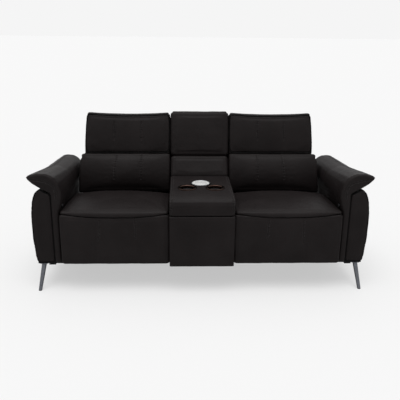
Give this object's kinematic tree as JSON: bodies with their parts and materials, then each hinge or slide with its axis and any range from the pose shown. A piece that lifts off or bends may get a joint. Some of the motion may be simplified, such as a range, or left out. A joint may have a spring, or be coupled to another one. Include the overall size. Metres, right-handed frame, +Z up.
{
  "type": "reclining console sofa",
  "caption": "Power reclining loveseat with flared arms, headrests that tilt, footrests that swing out and a centre console whose padded table with cup holders folds up.",
  "frame": {"origin": "on the floor under the middle of the bounding box", "axes": "+X to the right seen from the front, +Y to the rear, +Z up"},
  "size_m": [2.0546, 0.91, 1.0092],
  "materials": {
    "leather": "satin, fine grain",
    "lined_board": "black lining cloth over board",
    "black_steel": "powder coat",
    "spring_steel": "drawn wire",
    "leg_metal": "dark polished",
    "chrome": "bright",
    "black_plastic": "matt"
  },
  "bodies": {
    "base": {"right_arm_core": "lined_board", "right_arm_wing": "leather", "right_arm_bolster": "leather", "right_front_leg": "leg_metal", "right_rear_leg": "leg_metal", "right_outer_track": "black_steel", "right_inner_track": "black_steel", "right_drive_unit": "black_plastic", "right_switch_bezel": "chrome", "left_arm_core": "lined_board", "left_arm_wing": "leather", "left_arm_bolster": "leather", "left_front_leg": "leg_metal", "left_rear_leg": "leg_metal", "left_outer_track": "black_steel", "left_inner_track": "black_steel", "left_drive_unit": "black_plastic", "left_switch_bezel": "chrome", "front_cross_rail": "black_steel", "rear_cross_rail": "black_steel", "power_supply": "black_plastic", "console_carcass": "lined_board", "console_cover": "leather", "console_back_shell": "leather", "console_roll": "leather", "centre_headrest": "leather"},
    "right_seat": {"right_seat_frame": "black_steel", "right_seat_springs": "spring_steel", "right_seat_cushion": "leather", "right_drive_rod": "spring_steel"},
    "right_back": {"right_back_frame": "black_steel", "right_lumbar_cushion": "leather", "right_back_cover": "leather"},
    "right_headrest": {"right_headrest_core": "black_steel", "right_headrest_pad": "leather"},
    "right_rear_links": {"right_footrest_rear_links": "black_steel"},
    "right_front_links": {"right_footrest_front_links": "black_steel"},
    "right_footrest": {"right_footrest_board": "lined_board", "right_footrest_pad": "leather"},
    "right_button": {"right_recline_button": "black_plastic"},
    "left_seat": {"left_seat_frame": "black_steel", "left_seat_springs": "spring_steel", "left_seat_cushion": "leather", "left_drive_rod": "spring_steel"},
    "left_back": {"left_back_frame": "black_steel", "left_lumbar_cushion": "leather", "left_back_cover": "leather"},
    "left_headrest": {"left_headrest_core": "black_steel", "left_headrest_pad": "leather"},
    "left_rear_links": {"left_footrest_rear_links": "black_steel"},
    "left_front_links": {"left_footrest_front_links": "black_steel"},
    "left_footrest": {"left_footrest_board": "lined_board", "left_footrest_pad": "leather"},
    "left_button": {"left_recline_button": "black_plastic"},
    "leaf": {"leaf_core": "lined_board", "leaf_pad": "leather", "right_cup_holder": "chrome", "left_cup_holder": "chrome", "charging_pad": "chrome"}
  },
  "joints": [
    {"name": "right_seat_slide", "type": "slide", "parent": "base", "child": "right_seat", "axis": [0, -1, 0], "range_m": [0, 0.09]},
    {"name": "right_back_recline", "type": "hinge", "parent": "right_seat", "child": "right_back", "pos_m": [0.523, 0.23434, 0.39376], "axis": [-1, 0, 0], "range_deg": [0, 30]},
    {"name": "right_headrest_tilt", "type": "hinge", "parent": "right_back", "child": "right_headrest", "pos_m": [0.489, 0.23203, 0.73878], "axis": [1, 0, 0], "range_deg": [0, 40]},
    {"name": "right_rear_link_swing", "type": "hinge", "parent": "right_seat", "child": "right_rear_links", "pos_m": [0.523, -0.313, 0.312], "axis": [-1, 0, 0], "range_deg": [0, 80]},
    {"name": "right_front_link_swing", "type": "hinge", "parent": "right_rear_links", "child": "right_front_links", "pos_m": [0.523, -0.335, 0.19], "axis": [1, 0, 0], "range_deg": [0, 145]},
    {"name": "right_footrest_swing", "type": "hinge", "parent": "right_front_links", "child": "right_footrest", "pos_m": [0.523, -0.367, 0.418], "axis": [-1, 0, 0], "range_deg": [0, 150]},
    {"name": "right_button_press", "type": "slide", "parent": "base", "child": "right_button", "axis": [1, 0, 0], "range_m": [0, 0.003], "stiffness_N_per_m": 400},
    {"name": "left_seat_slide", "type": "slide", "parent": "base", "child": "left_seat", "axis": [0, -1, 0], "range_m": [0, 0.09]},
    {"name": "left_back_recline", "type": "hinge", "parent": "left_seat", "child": "left_back", "pos_m": [-0.523, 0.23434, 0.39376], "axis": [-1, 0, 0], "range_deg": [0, 30]},
    {"name": "left_headrest_tilt", "type": "hinge", "parent": "left_back", "child": "left_headrest", "pos_m": [-0.489, 0.23203, 0.73878], "axis": [1, 0, 0], "range_deg": [0, 40]},
    {"name": "left_rear_link_swing", "type": "hinge", "parent": "left_seat", "child": "left_rear_links", "pos_m": [-0.523, -0.313, 0.312], "axis": [-1, 0, 0], "range_deg": [0, 80]},
    {"name": "left_front_link_swing", "type": "hinge", "parent": "left_rear_links", "child": "left_front_links", "pos_m": [-0.523, -0.335, 0.19], "axis": [1, 0, 0], "range_deg": [0, 145]},
    {"name": "left_footrest_swing", "type": "hinge", "parent": "left_front_links", "child": "left_footrest", "pos_m": [-0.523, -0.367, 0.418], "axis": [-1, 0, 0], "range_deg": [0, 150]},
    {"name": "left_button_press", "type": "slide", "parent": "base", "child": "left_button", "axis": [-1, 0, 0], "range_m": [0, 0.003], "stiffness_N_per_m": 400},
    {"name": "leaf_hinge", "type": "hinge", "parent": "base", "child": "leaf", "pos_m": [0, 0.051, 0.55], "axis": [-1, 0, 0], "range_deg": [0, 90]}
  ],
  "couplings": [
    {"joint": "right_back_recline", "follows": "right_seat_slide", "rad_per_m": 5.817},
    {"joint": "right_rear_link_swing", "follows": "right_seat_slide", "rad_per_m": 15.513},
    {"joint": "right_front_link_swing", "follows": "right_seat_slide", "rad_per_m": 28.118},
    {"joint": "right_footrest_swing", "follows": "right_seat_slide", "rad_per_m": 29.088},
    {"joint": "left_back_recline", "follows": "left_seat_slide", "rad_per_m": 5.817},
    {"joint": "left_rear_link_swing", "follows": "left_seat_slide", "rad_per_m": 15.513},
    {"joint": "left_front_link_swing", "follows": "left_seat_slide", "rad_per_m": 28.118},
    {"joint": "left_footrest_swing", "follows": "left_seat_slide", "rad_per_m": 29.088}
  ]
}
